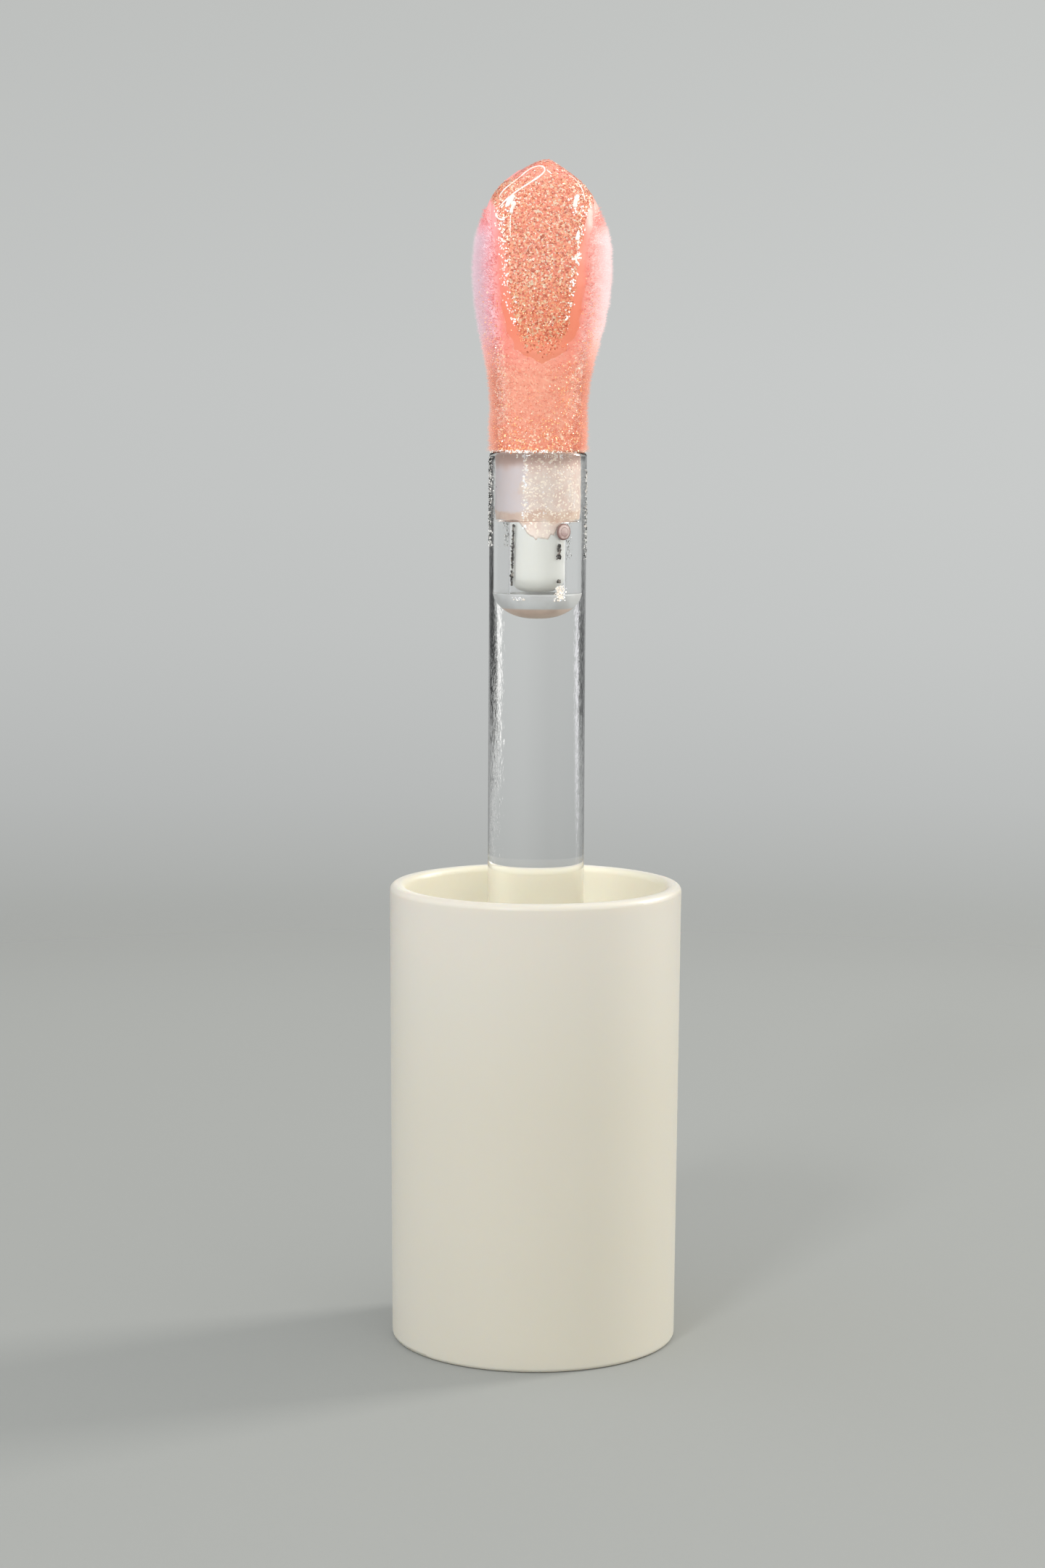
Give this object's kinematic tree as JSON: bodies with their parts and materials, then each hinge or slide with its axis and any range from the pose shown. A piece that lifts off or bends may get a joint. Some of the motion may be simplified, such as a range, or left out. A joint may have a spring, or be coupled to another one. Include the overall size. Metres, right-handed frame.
{
  "type": "lip gloss cap with wand applicator",
  "caption": "Cylindrical screw cap standing on its closed end, with a clear wand and a flexible flocked doe-foot applicator carrying a film of glitter gloss.",
  "frame": {"origin": "centre of the cap's closed end, on its outer face, where it stands", "axes": "+Z along the wand towards the applicator's tip, -Y the way the paddle's front face looks, +X to its right"},
  "size_m": [0.02, 0.02, 0.0806],
  "materials": {
    "cap_plastic": "satin cream moulding",
    "insert_plastic": "natural white moulding",
    "liner_foam": "closed-cell foam",
    "clear_plastic": "polished, water clear",
    "applicator_elastomer": "soft matte white",
    "flock": "short upright nylon fibre, soaked in gloss",
    "gloss": "wet, with fine gold glitter"
  },
  "bodies": {
    "cap_and_wand": {"outer_cap": "cap_plastic", "inner_cap": "insert_plastic", "seal_liner": "liner_foam", "wand": "clear_plastic", "applicator_stem": "applicator_elastomer", "flex_neck": "applicator_elastomer", "neck_flock": "flock"},
    "applicator_head": {"paddle_core": "applicator_elastomer", "paddle_flock": "flock", "gloss_film": "gloss"}
  },
  "joints": [
    {"name": "applicator_flex", "type": "hinge", "parent": "cap_and_wand", "child": "applicator_head", "pos_m": [0, 0, 0.0636], "axis": [1, 0, 0], "range_deg": [-15, 15], "stiffness_Nm_per_rad": 0.02, "deforming": ["flex_neck", "neck_flock"]}
  ]
}
